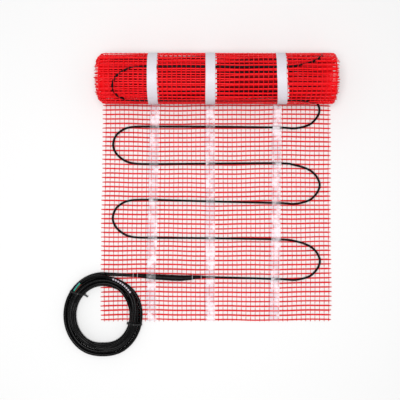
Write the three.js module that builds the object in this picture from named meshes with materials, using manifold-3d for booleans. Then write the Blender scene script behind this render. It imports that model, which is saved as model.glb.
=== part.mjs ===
// An electric underfloor heating mat, partly unrolled: a red open-mesh net with a heating cable laid
// across it in a serpentine, held by three strips of tape, and the rest of the mat still in its roll.
// The cold lead leaves the splice on the mat and lies beside it in a tied coil.
// Millimetres. +X runs across the mat, +Y from the free end to the roll, +Z up from the floor.
// The origin is on the floor, in the middle of the mat and its roll.
import * as THREE from "three";
import { mergeVertices } from "three/addons/utils/BufferGeometryUtils.js";
import Module from "manifold-3d";

const wasm = await Module();
wasm.setup();

// Gap that pieces keep to what they rest on.
const CLEAR = 0.3;

// The net: thin warp yarns along the mat, and wider weft yarns across it, lying on the warps.
const MAT_WIDTH = 500;
const LEAST_FRINGE = 7;
const WARP_PITCH = 9.9;
const WARP_WIDTH = 1.3;
const WEFT_PITCH = 9.85;
const WEFT_WIDTH = 2;
const YARN_THICK = 0.55;
const YARN_GAP = 0.1;
const YARN_STEP = 0.05;
const YARN_TUCK = 0.15;
const WARP_TAIL = 3;
const PANEL_ROWS = 2;

// The roll: the turned solid stands for the wound turns of the mat. Near each end the turns draw in
// towards the bore, from a place so far in from the outermost warp, by a share of their height.
const FLAT_LENGTH = 514;
const ROLL_RADIUS = 53;
const BORE_RADIUS = 25;
const ROLL_TURNS = 6;
const RIDGE = 0.35;
const ROLL_SEGMENTS = 32;
const NIP_ANGLE = 12;
const DRAWN_IN = {
  left: { from: 6.5, share: 0.5 },
  right: { from: 2.5, share: 0.2 },
};

// The strips: a thin tape on top that holds the cable, and a release liner under the net. They run
// a little aside between the flat mat and the roll.
const STRIP_CENTRES = { left: -136, middle: -12, right: 132.5 };
const WOUND_CENTRES = { left: -130.4, middle: -11.8, right: 133.6 };
const STRIP_WIDTH = 20;
const TAPE_THICK = 0.2;
const LINER_THICK = 0.3;
const LINER_SHIFT = -2;

// The heating cable: its runs across the mat, and how far each wanders from its line at the strips.
const CABLE_DIAMETER = 4.4;
const FIRST_RUN = 94.5;
const RUN_PITCH = 81.5;
const RUN_WANDER = [
  { middle: 0, right: -4 },
  { left: 3.5, middle: 2.5, right: 0 },
  { left: 5, middle: 2, right: -3 },
  { left: 1.5, middle: 3, right: 1.5 },
  { left: 1.5, middle: 0.5, right: -2.5 },
];
// A turn, as distance in from the mat's side edge and share of the way to the next run.
const TURN = [
  [64, 0.02],
  [41, 0.1],
  [28, 0.3],
  [25, 0.48],
  [32, 0.69],
  [47, 0.85],
  [66, 0.94],
];
const CABLE_SIDES = 8;
const CABLE_STEPS = 112;

// The splice sleeve between lead and heating cable: distance from its left end, radius, side shift.
const SPLICE_START = -171;
const SPLICE_STATIONS = [
  [0, 3.9, 4],
  [8, 4.2, 3.4],
  [20, 5, 2.4],
  [36, 5.7, 1],
  [50, 6, 0.4],
  [76, 6.3, -1],
  [92, 6.2, -1.6],
  [106, 5.6, -1.3],
  [118, 4.9, -0.5],
  [126, 3.9, 0.2],
  [138, 3.2, 0.3],
  [143.5, 2.9, 0],
];
const SPLICE_SIDES = 12;

// The threads that hold lead and splice down, at distances from the sleeve's left end.
const THREAD_THICK = 0.8;
const THREAD_STATIONS = [-8.4, 0.8, 119, 138];

// The cold lead and its coil.
const LEAD_DIAMETER = 7;
const LEAD_SIDES = 8;
// From the sleeve to the coil: distance from the sleeve, and share of the way over to the coil's top.
const LEAD_TAIL = [
  [CLEAR, 0],
  [13, 0.33],
  [26, 0.5],
  [35.5, 0.63],
];
const COIL_X = -244.2;
const COIL_FROM_END = 13.4;
const COIL_RADIUS = 71.2;
const COIL_OVAL = 1.084;
const COIL_STRANDS = 4;
const COIL_TOP_STRANDS = 2;
const COIL_SEGMENTS = 40;
const NEST = Math.sqrt(3) / 2;
const LEAD_END_FROM = 30;
const LEAD_END_TO = 126.4;
const CORE_DIAMETER = 2.6;

// The cable ties round the coil: where each sits, how far its strap slants from straight across, and
// how far its cut tail stands out of the head.
const TIE_THICK = 1.1;
const TIE_WIDTH = 3.6;
const TIE_HEAD = { length: 5, width: 5.4, height: 4.4 };
const TIES = [
  { angle: -14, skew: 7, tail: 1 },
  { angle: 141.6, skew: 24.5, tail: 7 },
];

// Levels and places worked out from the sizes above.
const meshBottom = LINER_THICK + CLEAR;
const warpTop = meshBottom + YARN_THICK;
const weftBottom = warpTop + YARN_GAP;
const meshTop = weftBottom + YARN_THICK;
const restLevel = meshTop + CLEAR;
const bandInner = ROLL_RADIUS + CLEAR;
const bandOuter = bandInner + LINER_THICK;
const overallLength = FLAT_LENGTH + bandOuter;
const freeEnd = -overallLength / 2;
const rollY = freeEnd + FLAT_LENGTH;
const rollZ = bandOuter;
const firstWeft = freeEnd + WARP_TAIL;
const sideEdge = MAT_WIDTH / 2;
const warpCount = Math.floor((MAT_WIDTH - 2 * LEAST_FRINGE) / WARP_PITCH) + 1;
const outerWarp = ((warpCount - 1) / 2) * WARP_PITCH;

// How far along the mat a thing of height z reaches before it meets a cylinder round the roll's axis.
const reachUnder = (z, radius) => rollY - Math.sqrt(radius ** 2 - (rollZ - z - CLEAR) ** 2);
const meshEnd = reachUnder(meshTop, ROLL_RADIUS);
const weftCount = Math.floor((meshEnd - WEFT_WIDTH / 2 - firstWeft) / WEFT_PITCH) + 1;
const warpX = (i) => i * WARP_PITCH - outerWarp;
const weftY = (j) => firstWeft + j * WEFT_PITCH;
const runLine = (k) => freeEnd + FIRST_RUN + k * RUN_PITCH;

const finish = (color, roughness, metalness = 0) =>
  new THREE.MeshStandardMaterial({ color, roughness, metalness });
const materials = {
  net: finish(0xe0202a, 0.45),
  tape: finish(0xf1eef2, 0.3),
  liner: finish(0xf4f2f5, 0.55),
  cable: finish(0x161616, 0.5),
  lead: finish(0x1b1b1c, 0.55),
  sleeve: finish(0x141415, 0.45),
  thread: finish(0xe9e9ee, 0.6),
  tie: finish(0x101010, 0.4),
  earth: finish(0x1f9d78, 0.4),
  live: finish(0x6e2a1e, 0.4),
  neutral: finish(0x1f3f8a, 0.4),
};

const part = new THREE.Group();

function addPiece(name, geometry, material) {
  const mesh = new THREE.Mesh(geometry, material);
  mesh.name = name;
  part.add(mesh);
  return mesh;
}

// A closed geometry as a solid that can be joined to others.
function solidOf(geometry) {
  const bare = new THREE.BufferGeometry();
  bare.setAttribute("position", geometry.getAttribute("position"));
  if (geometry.index) bare.setIndex(geometry.index);
  const merged = mergeVertices(bare, 1e-4);
  return new wasm.Manifold(
    new wasm.Mesh({
      numProp: 3,
      vertProperties: merged.attributes.position.array,
      triVerts: new Uint32Array(merged.index.array),
    }),
  );
}

function joined(geometries) {
  const whole = geometries.map(solidOf).reduce((sum, next) => sum.add(next));
  const mesh = whole.getMesh();
  const made = new THREE.BufferGeometry();
  made.setAttribute("position", new THREE.BufferAttribute(mesh.vertProperties, 3));
  made.setIndex(new THREE.BufferAttribute(mesh.triVerts, 1));
  made.computeVertexNormals();
  return made;
}

// A box whose corners lie exactly at the given places, so that blocks meet face to face.
function block(x0, x1, y0, y1, z0, z1) {
  const made = new THREE.BoxGeometry(1, 1, 1);
  const corner = made.attributes.position;
  for (let v = 0; v < corner.count; v++) {
    const x = corner.getX(v) < 0 ? x0 : x1;
    const y = corner.getY(v) < 0 ? y0 : y1;
    const z = corner.getZ(v) < 0 ? z0 : z1;
    corner.setXYZ(v, x, y, z);
  }
  return made;
}

// A round section with an even number of flats, one of them facing down.
function roundSection(diameter, sides) {
  const shape = new THREE.Shape();
  const radius = diameter / 2 / Math.cos(Math.PI / sides);
  for (let s = 0; s < sides; s++) {
    const angle = ((s + 0.5) / sides) * 2 * Math.PI;
    const point = [radius * Math.cos(angle), radius * Math.sin(angle)];
    if (s === 0) shape.moveTo(...point);
    else shape.lineTo(...point);
  }
  shape.closePath();
  return shape;
}

function tube(points, diameter, sides, steps) {
  const path = new THREE.CatmullRomCurve3(points.map((p) => new THREE.Vector3(...p)));
  return new THREE.ExtrudeGeometry(roundSection(diameter, sides), {
    steps,
    extrudePath: path,
    curveSegments: 1,
  });
}

// An outline in the plane of Y and Z, drawn out along X from x0 to x1.
function drawnAcross(outline, x0, x1) {
  const shape = new THREE.Shape(outline.map(([y, z]) => new THREE.Vector2(y, z)));
  const made = new THREE.ExtrudeGeometry(shape, { depth: x1 - x0, bevelEnabled: false });
  made.rotateX(Math.PI / 2);
  made.rotateZ(Math.PI / 2);
  return made.translate(x0, 0, 0);
}

// A profile of [radius, place along the axis] turned about a line along X.
function turnedAboutX(profile, segments) {
  const points = profile.map(([radius, along]) => new THREE.Vector2(radius, along));
  const made = new THREE.LatheGeometry(points, segments);
  return made.rotateZ(-Math.PI / 2);
}

// One piece of the net. Its border yarns have the net's full thickness, and a border that it shares
// with its neighbour is cut along its middle. Inside, the wefts pass just over the warps, and both
// end inside the borders, fused to them.
function netPanel(warpFrom, warpTo, weftFrom, weftTo) {
  const halfWarp = WARP_WIDTH / 2;
  const halfWeft = WEFT_WIDTH / 2;
  const atLeft = warpFrom === 0;
  const atRight = warpTo === warpCount - 1;
  const atNear = weftFrom === 0;
  const cut = CLEAR / 2;
  const end = cut + YARN_TUCK;
  const yarns = [];
  for (let i = warpFrom; i <= warpTo; i++) {
    const x0 = warpX(i) - (i === warpFrom && !atLeft ? -cut : halfWarp);
    const x1 = warpX(i) + (i === warpTo && !atRight ? -cut : halfWarp);
    const y0 = atNear ? freeEnd : weftY(weftFrom) + end;
    const y1 = weftY(weftTo) - end;
    const border = i === warpFrom || i === warpTo;
    const z0 = meshBottom + (border ? YARN_STEP : 2 * YARN_STEP);
    yarns.push(block(x0, x1, y0, y1, z0, border ? meshTop - YARN_STEP : warpTop));
  }
  for (let j = weftFrom; j <= weftTo; j++) {
    const y0 = weftY(j) - (j === weftFrom && !atNear ? -cut : halfWeft);
    const y1 = weftY(j) + (j === weftTo && weftTo < weftCount - 1 ? -cut : halfWeft);
    const x0 = atLeft ? -sideEdge : warpX(warpFrom) + end;
    const x1 = atRight ? sideEdge : warpX(warpTo) - end;
    const border = j === weftFrom || j === weftTo;
    const z0 = border ? meshBottom : weftBottom;
    yarns.push(block(x0, x1, y0, y1, z0, border ? meshTop : meshTop - 2 * YARN_STEP));
  }
  return joined(yarns);
}

// The net is split under the outer strips, and evenly along its length.
function addNet() {
  const nearestWarp = (x) => Math.round((x + outerWarp) / WARP_PITCH);
  const splits = [STRIP_CENTRES.left, STRIP_CENTRES.right].map(nearestWarp);
  const columns = [0, ...splits, warpCount - 1];
  for (let row = 0; row < PANEL_ROWS; row++) {
    const weftFrom = Math.round((row / PANEL_ROWS) * (weftCount - 1));
    const weftTo = Math.round(((row + 1) / PANEL_ROWS) * (weftCount - 1));
    for (let column = 0; column + 1 < columns.length; column++) {
      const geometry = netPanel(columns[column], columns[column + 1], weftFrom, weftTo);
      addPiece(`net_panel_${row + 1}_${column + 1}`, geometry, materials.net);
    }
  }
}

// The wound mat: at each end every turn shows as a ridge of cut weft ends over a valley.
function addRoll() {
  const turnThick = (ROLL_RADIUS - BORE_RADIUS) / ROLL_TURNS;
  const endProfile = ({ from, share }) => {
    const start = outerWarp - from;
    const drawn = (radius, along) => {
      const reach = (along - start) / (sideEdge - start);
      return [radius - share * reach * (radius - BORE_RADIUS), along];
    };
    const profile = [[ROLL_RADIUS, start], drawn(ROLL_RADIUS, outerWarp)];
    for (let turn = 0; turn < ROLL_TURNS; turn++) {
      const outside = ROLL_RADIUS - turn * turnThick;
      profile.push(drawn(outside - turnThick * RIDGE, sideEdge));
      profile.push(drawn(outside - turnThick, outerWarp));
    }
    return profile;
  };
  const right = endProfile(DRAWN_IN.right);
  const left = endProfile(DRAWN_IN.left).map(([radius, along]) => [radius, -along]);
  const geometry = turnedAboutX([...right, ...left.reverse(), right[0]], ROLL_SEGMENTS);
  addPiece("mat_roll", geometry.translate(0, rollY, rollZ), materials.net);
}

// The cable runs from the splice to where the roll takes it in.
const runY = (k, strip) => runLine(k) + (RUN_WANDER[k]?.[strip] ?? 0);
const spliceLength = SPLICE_STATIONS.at(-1)[0];
const spliceEnd = SPLICE_START + spliceLength;
const underSplice = (k, strip) => k === 0 && STRIP_CENTRES[strip] < spliceEnd;
const cableZ = restLevel + CABLE_DIAMETER / 2;
const nip = reachUnder(cableZ + CABLE_DIAMETER / 2, ROLL_RADIUS) - CABLE_DIAMETER;
const runCount = Math.floor((nip - runLine(0)) / RUN_PITCH) + 1;

function cablePoints() {
  const points = [[spliceEnd + CLEAR, runLine(0), cableZ]];
  for (let k = 0; k < runCount; k++) {
    const toRight = k % 2 === 0;
    const strips = Object.keys(STRIP_CENTRES).filter((strip) => !underSplice(k, strip));
    const order = toRight ? strips : strips.reverse();
    for (const strip of order) points.push([STRIP_CENTRES[strip], runY(k, strip), cableZ]);
    const from = runY(k, order.at(-1));
    const next = runY(k + 1, order.at(-1));
    for (const [inset, share] of TURN) {
      const y = from + share * (next - from);
      if (y < nip) points.push([(toRight ? 1 : -1) * (sideEdge - inset), y, cableZ]);
    }
  }
  return points;
}

function addHeatingCable() {
  const geometry = tube(cablePoints(), CABLE_DIAMETER, CABLE_SIDES, CABLE_STEPS);
  addPiece("heating_cable", geometry, materials.cable);
}

// The line that the lead follows from the sleeve's left end to its coil.
const coilY = freeEnd + COIL_FROM_END;
const leadCorner = LEAD_DIAMETER / 2 / Math.cos(Math.PI / LEAD_SIDES);
const leadStartY = runLine(0) + SPLICE_STATIONS[0][2];
const leadEndY = coilY + (COIL_RADIUS + ((COIL_STRANDS - 1) * LEAD_DIAMETER) / 2) * COIL_OVAL;

function leadPlace([distance, share]) {
  return [SPLICE_START - distance, leadStartY + share * (leadEndY - leadStartY)];
}

// How thick the lead or the sleeve is, and where its axis lies, so far from the sleeve's left end.
function stationAt(distance) {
  if (distance <= -CLEAR) {
    const [, y] = leadPlace([-distance, (-distance / LEAD_TAIL[1][0]) * LEAD_TAIL[1][1]]);
    return { radius: leadCorner, y, z: restLevel + LEAD_DIAMETER / 2 };
  }
  const next = SPLICE_STATIONS.findIndex(([place]) => place >= distance - 1e-3);
  const after = SPLICE_STATIONS[Math.max(next, 1)];
  const before = SPLICE_STATIONS[Math.max(next, 1) - 1];
  const share = (distance - before[0]) / (after[0] - before[0]);
  const radius = before[1] + share * (after[1] - before[1]);
  const side = before[2] + share * (after[2] - before[2]);
  return { radius, y: runLine(0) + side, z: restLevel + radius };
}

// The sleeve lies on the net along its whole length, so its axis rises where it is thick.
function addSplice() {
  const profile = [[0, 0], ...SPLICE_STATIONS.map(([place, radius]) => [radius, place]), [0, spliceLength]];
  const geometry = turnedAboutX(profile, SPLICE_SIDES);
  const position = geometry.attributes.position;
  for (let v = 0; v < position.count; v++) {
    const { y, z } = stationAt(position.getX(v));
    position.setY(v, position.getY(v) + y);
    position.setZ(v, position.getZ(v) + z);
  }
  addPiece("splice_sleeve", geometry.translate(SPLICE_START, 0, 0), materials.sleeve);
}

// Each thread is an arch over the lead or the sleeve whose legs go down into the net.
function addThreads() {
  const flats = 8;
  THREAD_STATIONS.forEach((place, n) => {
    const { radius, y, z } = stationAt(place);
    const arc = (r) => {
      const points = [];
      for (let s = 0; s <= flats; s++) {
        const angle = (s / flats) * Math.PI;
        points.push([y + r * Math.cos(angle), z + r * Math.sin(angle)]);
      }
      return points;
    };
    const inner = radius + CLEAR;
    const outer = inner + THREAD_THICK;
    const foot = restLevel + CLEAR;
    const outside = [[y + outer, foot], ...arc(outer), [y - outer, foot]];
    const inside = [[y + inner, foot], ...arc(inner), [y - inner, foot]].reverse();
    const x = SPLICE_START + place;
    const geometry = drawnAcross([...outside, ...inside], x, x + THREAD_THICK);
    addPiece(`splice_thread_${n + 1}`, geometry, materials.thread);
  });
}

// Each tape follows the net and arches over the cable or the splice. Its liner lies flat under the
// net, and shows again as a band round the roll from just behind the place where it touches down.
function addStrips() {
  const lie = meshTop + CLEAR / 3;
  const rise = (top, half) => [
    [-half - 3, lie],
    [-half * 0.7, top],
    [half * 0.7, top],
    [half + 3, lie],
  ];
  const away = THREE.MathUtils.degToRad(NIP_ANGLE);
  const arc = (radius) =>
    Array.from({ length: ROLL_SEGMENTS + 1 }, (_, s) => {
      const angle = away + (s / ROLL_SEGMENTS) * 2 * (Math.PI - away);
      return [rollY + radius * Math.sin(angle), rollZ - radius * Math.cos(angle)];
    });
  for (const [side, centre] of Object.entries(STRIP_CENTRES)) {
    const x0 = centre - STRIP_WIDTH / 2;
    const x1 = centre + STRIP_WIDTH / 2;
    const under = [[freeEnd, lie]];
    for (let k = 0; k < runCount; k++) {
      const overSplice = underSplice(k, side);
      const { radius, y } = stationAt(centre - SPLICE_START);
      const bump = overSplice
        ? rise(restLevel + 2 * radius + 2 * CLEAR, radius + 2)
        : rise(restLevel + CABLE_DIAMETER + CLEAR, CABLE_DIAMETER / 2 + 1);
      const middle = overSplice ? y : runY(k, side);
      for (const [across, z] of bump) under.push([middle + across, z]);
    }
    under.push([reachUnder(lie + TAPE_THICK, bandOuter), lie]);
    const over = under.map(([y, z]) => [y, z + TAPE_THICK]).reverse();
    addPiece(`fixing_tape_${side}`, drawnAcross([...under, ...over], x0, x1), materials.tape);
    const liner = block(x0, x1, freeEnd, rollY, 0, LINER_THICK);
    addPiece(`liner_${side}`, liner.translate(LINER_SHIFT, 0, 0), materials.liner);
    const band = drawnAcross([...arc(bandOuter), ...arc(bandInner).reverse()], x0, x1);
    const aside = WOUND_CENTRES[side] - centre + LINER_SHIFT;
    addPiece(`liner_band_${side}`, band.translate(aside, 0, 0), materials.liner);
  }
}

// The coil's section, as [out from the middle of its strands, height]: a full bottom layer, and a
// narrower layer nested on it, nearer the inside.
const bottomHalf = (COIL_STRANDS * LEAD_DIAMETER) / 2;
const topInside = -bottomHalf + LEAD_DIAMETER / 2;
const topOutside = topInside + COIL_TOP_STRANDS * LEAD_DIAMETER;
const coilBottom = restLevel;
const layerTop = coilBottom + LEAD_DIAMETER;
const coilTop = layerTop + LEAD_DIAMETER * NEST;
const bend = LEAD_DIAMETER / 4;
const coilSection = [
  [-bottomHalf + bend, coilBottom],
  [bottomHalf - bend, coilBottom],
  [bottomHalf, coilBottom + bend],
  [bottomHalf, layerTop - bend],
  [bottomHalf - bend, layerTop],
  [topOutside, layerTop],
  [topOutside, coilTop - bend],
  [topOutside - bend, coilTop],
  [topInside + bend, coilTop],
  [topInside, coilTop - bend],
  [-bottomHalf, layerTop - bend],
  [-bottomHalf, coilBottom + bend],
];

// A point on the coil, its strand being so far out from the middle, at an angle in degrees.
function onCoil(out, degrees, z) {
  const angle = THREE.MathUtils.degToRad(degrees);
  const radius = COIL_RADIUS + out;
  return [
    COIL_X + radius * Math.cos(angle),
    coilY + radius * COIL_OVAL * Math.sin(angle),
    z,
  ];
}

function addCoil() {
  const points = coilSection.map(([out, z]) => new THREE.Vector2(COIL_RADIUS + out, z));
  points.push(points[0].clone());
  const geometry = new THREE.LatheGeometry(points, COIL_SEGMENTS).rotateX(Math.PI / 2);
  geometry.scale(1, COIL_OVAL, 1);
  addPiece("lead_coil", geometry.translate(COIL_X, coilY, 0), materials.lead);
}

// The lead between the splice and its coil, and its last stretch, which lies on the coil's shoulder.
function addLead() {
  const leadZ = restLevel + LEAD_DIAMETER / 2;
  const tail = LEAD_TAIL.map((place) => [...leadPlace(place), leadZ]);
  addPiece("lead_tail", tube(tail, LEAD_DIAMETER, LEAD_SIDES, 6), materials.lead);
  const out = topOutside + CLEAR + LEAD_DIAMETER / 2;
  const endZ = layerTop + CLEAR + LEAD_DIAMETER / 2;
  const turns = [];
  for (let s = 0; s <= 8; s++) {
    turns.push(onCoil(out, LEAD_END_FROM + (s / 8) * (LEAD_END_TO - LEAD_END_FROM), endZ));
  }
  addPiece("lead_end", tube(turns, LEAD_DIAMETER, LEAD_SIDES, 12), materials.lead);
  addCores();
}

// Three cores lie side by side past the end of the sheath, up to the tie that holds the lead's end.
function addCores() {
  const z = layerTop + CLEAR + CORE_DIAMETER / 2;
  const from = LEAD_END_TO + THREE.MathUtils.radToDeg(CLEAR / COIL_RADIUS);
  const [, endTie] = TIES;
  const span = endTie.angle - THREE.MathUtils.radToDeg((TIE_WIDTH / 2 + 3 * CLEAR) / COIL_RADIUS) - from;
  ["live", "earth", "neutral"].forEach((core, n) => {
    const across = topOutside + CORE_DIAMETER / 2 + (n + 1) * CLEAR + n * CORE_DIAMETER;
    const points = [0, 1, 2, 3].map((s) => onCoil(across, from + (s / 3) * span, z));
    addPiece(`core_${core}`, tube(points, CORE_DIAMETER, 6, 5), materials[core]);
  });
}

// A tie hugs the coil's section. Its head and its cut tail point to the middle of the coil.
function addTies() {
  const middleZ = (coilBottom + coilTop) / 2;
  const headZ = coilBottom + LEAD_DIAMETER / 2;
  const tailZ = headZ + (TIE_HEAD.height - TIE_THICK) / 2;
  TIES.forEach(({ angle, skew, tail }, n) => {
    const slant = THREE.MathUtils.degToRad(skew);
    const reach = (bottomHalf * COIL_OVAL) / Math.cos(slant) + (TIE_WIDTH / 2) * Math.tan(slant);
    const hug = (gap) => {
      const wide = (reach + gap) / bottomHalf;
      const high = (coilTop - middleZ + gap) / (coilTop - middleZ);
      const corners = coilSection.filter((_, corner) => ![5, 6].includes(corner));
      return corners.map(([out, z]) => new THREE.Vector2(out * wide, middleZ + (z - middleZ) * high));
    };
    const loop = new THREE.Shape(hug(2 * CLEAR + TIE_THICK));
    loop.holes.push(new THREE.Path(hug(2 * CLEAR)));
    const strap = new THREE.ExtrudeGeometry(loop, { depth: TIE_WIDTH, bevelEnabled: false });
    strap.translate(0, 0, -TIE_WIDTH / 2).rotateX(Math.PI / 2);
    const inside = -reach - 2 * CLEAR;
    const lug = (near, far, width, z, thick) =>
      block(-far, -near, -width / 2, width / 2, z, z + thick).rotateZ(-slant).translate(inside, 0, 0);
    const box = lug(TIE_THICK / 2, TIE_HEAD.length, TIE_HEAD.width, headZ, TIE_HEAD.height);
    const tip = lug(TIE_HEAD.length / 2, TIE_HEAD.length + tail, TIE_WIDTH, tailZ, TIE_THICK);
    const radians = THREE.MathUtils.degToRad(angle);
    const outward = Math.atan2(Math.sin(radians), COIL_OVAL * Math.cos(radians));
    const tie = addPiece(`coil_tie_${n + 1}`, joined([strap, box, tip]), materials.tie);
    const [x, y] = onCoil(0, angle, 0);
    tie.rotation.z = outward + slant;
    tie.position.set(x, y, 0);
  });
}

addNet();
addRoll();
addStrips();
addHeatingCable();
addSplice();
addThreads();
addCoil();
addLead();
addTies();

export default part;
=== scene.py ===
import math
import random

import bpy
import numpy as np
from mathutils.geometry import convex_hull_2d
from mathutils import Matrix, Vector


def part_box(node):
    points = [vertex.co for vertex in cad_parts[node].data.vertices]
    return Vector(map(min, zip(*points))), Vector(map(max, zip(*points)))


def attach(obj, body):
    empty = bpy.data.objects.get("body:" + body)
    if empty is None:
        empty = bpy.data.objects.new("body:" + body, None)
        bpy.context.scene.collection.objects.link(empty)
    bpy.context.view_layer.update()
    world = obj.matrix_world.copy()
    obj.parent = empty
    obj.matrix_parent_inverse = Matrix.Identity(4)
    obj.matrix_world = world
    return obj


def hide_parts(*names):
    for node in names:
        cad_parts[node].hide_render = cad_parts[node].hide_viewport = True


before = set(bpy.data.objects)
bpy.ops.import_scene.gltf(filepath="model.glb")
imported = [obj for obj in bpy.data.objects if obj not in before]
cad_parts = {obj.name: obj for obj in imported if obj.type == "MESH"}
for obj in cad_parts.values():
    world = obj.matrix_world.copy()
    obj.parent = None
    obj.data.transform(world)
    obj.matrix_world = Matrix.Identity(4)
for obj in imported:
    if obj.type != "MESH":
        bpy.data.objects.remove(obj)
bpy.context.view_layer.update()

MM = 0.001
FULL_CIRCLE = 2 * math.pi
random.seed(7)

# The mat as the frame holds it: the net, its roll, its strips and its cables, in millimetres.
MAT_WIDTH = 500
SIDE = MAT_WIDTH / 2
WARP_COUNT = 50
WARP_PITCH = 9.9
WEFT_PITCH = 9.85
WARP_TAIL = 3
ROLL_RADIUS = 53
BORE_RADIUS = 25
ROLL_TURNS = 6
TURN_THICK = (ROLL_RADIUS - BORE_RADIUS) / ROLL_TURNS
STRIP_CENTRES = {"left": -136, "middle": -12, "right": 132.5}
STRIP_WIDTH = 20
LINER_SHIFT = -2
NET_UNDERSIDE = 0.6
NET_THICK = 1.2
CABLE_DIAMETER = 4.7
CABLE_LIE = 3.7
FIRST_RUN = 94.5
RUN_PITCH = 81.5


def box_mm(node):
    """The low and the high corner of a node of the frame, in millimetres."""
    return [[c / MM for c in corner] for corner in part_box(node)]


roll_low, roll_high = box_mm("mat_roll")
FREE_END = box_mm("liner_middle")[0][1]
ROLL_Y = (roll_low[1] + roll_high[1]) / 2
ROLL_Z = (roll_low[2] + roll_high[2]) / 2
FLAT_LENGTH = ROLL_Y - FREE_END

# The photograph was taken from straight above, close enough for the roll to look larger.
CAMERA_HEIGHT = 1450
CAMERA_X = -28
CAMERA_FROM_END = 235.8
CAMERA_TILT = 1.0
FOCAL_PX = 669
IMAGE_PX = 400
SENSOR_MM = 36
CENTRE_PX = 203.4

camera = bpy.data.objects.new("camera", bpy.data.cameras.new("camera"))
bpy.context.collection.objects.link(camera)
camera.location = (CAMERA_X * MM, (FREE_END + CAMERA_FROM_END) * MM, CAMERA_HEIGHT * MM)
camera.rotation_euler = (math.radians(CAMERA_TILT), 0, 0)
camera.data.sensor_width = SENSOR_MM
camera.data.lens = FOCAL_PX / IMAGE_PX * SENSOR_MM
camera.data.shift_x = (IMAGE_PX / 2 - CENTRE_PX) / IMAGE_PX
bpy.context.scene.camera = camera


def srgb(hex_colour):
    """A colour written as sRGB hex, as the linear colour that shaders take."""
    parts = [int(hex_colour[k : k + 2], 16) / 255 for k in (1, 3, 5)]
    line = [c / 12.92 if c <= 0.04045 else ((c + 0.055) / 1.055) ** 2.4 for c in parts]
    return (*line, 1)


def new_material(name, **shader_inputs):
    """A material with its principled shader, and that shader's plain inputs."""
    material = bpy.data.materials.new(name)
    material.use_nodes = True
    shader = material.node_tree.nodes["Principled BSDF"]
    for socket, value in shader_inputs.items():
        shader.inputs[socket.replace("_", " ")].default_value = value
    return material, shader


def add_node(material, kind, links=(), **settings):
    """A node of a material, with its settings, its input values and its links from other sockets."""
    node = material.node_tree.nodes.new(kind)
    for name, value in settings.items():
        if name in node.inputs:
            node.inputs[name].default_value = value
        else:
            setattr(node, name, value)
    for socket, source in dict(links).items():
        material.node_tree.links.new(source, node.inputs[socket])
    return node


def link(material, source, target):
    """Join two sockets of a material's nodes."""
    material.node_tree.links.new(source, target)


def two_tones(material, shader, pattern, dark, light, low=0.35, high=0.65):
    """Base colour that wanders between two tones with a pattern."""
    tones = add_node(material, "ShaderNodeValToRGB", {"Fac": pattern})
    tones.color_ramp.elements[0].position = low
    tones.color_ramp.elements[0].color = srgb(dark)
    tones.color_ramp.elements[1].position = high
    tones.color_ramp.elements[1].color = srgb(light)
    link(material, tones.outputs["Color"], shader.inputs["Base Color"])


def rough_range(material, shader, pattern, low, high):
    """Roughness that wanders with a pattern."""
    spread = add_node(material, "ShaderNodeMapRange", {"Value": pattern})
    spread.inputs["To Min"].default_value = low
    spread.inputs["To Max"].default_value = high
    link(material, spread.outputs["Result"], shader.inputs["Roughness"])


def relief(material, shader, height, depth_mm):
    """Fine unevenness of a surface, so many millimetres deep."""
    bump = add_node(material, "ShaderNodeBump", {"Height": height}, Distance=depth_mm * MM)
    link(material, bump.outputs["Normal"], shader.inputs["Normal"])


def grain(material, size_mm, detail=4, stretch=None):
    """Noise whose features are about size_mm across, or drawn out by stretch along X, Y and Z."""
    place = add_node(material, "ShaderNodeTexCoord").outputs["Object"]
    if stretch:
        mapping = add_node(material, "ShaderNodeMapping", {"Vector": place})
        mapping.inputs["Scale"].default_value = [1 / s for s in stretch]
        place = mapping.outputs["Vector"]
    noise = add_node(material, "ShaderNodeTexNoise", {"Vector": place})
    noise.inputs["Scale"].default_value = 1 / (size_mm * MM)
    noise.inputs["Detail"].default_value = detail
    return noise.outputs["Fac"]


def coated_glass_yarn(name, dark, light):
    """Glass fibre roving dipped in red plastisol: satin, with the filaments' lines under the coat.
    Real filaments are far too fine to show, so they are drawn half a millimetre wide."""
    material, shader = new_material(name, Roughness=0.42, IOR=1.5)
    shader.inputs["Specular IOR Level"].default_value = 0.16
    shader.inputs["Subsurface Weight"].default_value = 0.15
    shader.inputs["Subsurface Radius"].default_value = (0.004, 0.0004, 0.0004)
    shader.inputs["Subsurface Scale"].default_value = 1.0
    two_tones(material, shader, grain(material, 14), dark, light)
    filaments = grain(material, 0.5, stretch=(12, 1, 1))
    rough_range(material, shader, filaments, 0.34, 0.52)
    relief(material, shader, filaments, 0.12)
    return material


# The inner turns carry painted shade, a deeper red, up to this far from the mat's middle.
INNER_PAINTED_SHADE_TO = 205


def painted_shade_yarn():
    """The same yarn in the inner turns, with painted shade: a deeper red stands for the shade inside the
    roll, except at the ends that stand open.
    """
    material, shader = new_material("coated_glass_yarn_inner_painted_shade", Roughness=0.5, IOR=1.5)
    shader.inputs["Specular IOR Level"].default_value = 0.1
    place = add_node(material, "ShaderNodeTexCoord").outputs["Object"]
    across = add_node(material, "ShaderNodeSeparateXYZ", {"Vector": place}).outputs["X"]
    side = add_node(material, "ShaderNodeMath", {0: across}, operation="ABSOLUTE").outputs["Value"]
    painted_shade_lift = add_node(material, "ShaderNodeMapRange", {"Value": side})
    painted_shade_lift.inputs["From Min"].default_value = INNER_PAINTED_SHADE_TO * MM
    painted_shade_lift.inputs["From Max"].default_value = SIDE * MM
    # Painted shade: deep red in the middle of the inner turns, rising to full red towards the open ends.
    two_tones(material, shader, painted_shade_lift.outputs["Result"], "#8c0610", "#f80612", 0, 0.5)
    return material


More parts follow.
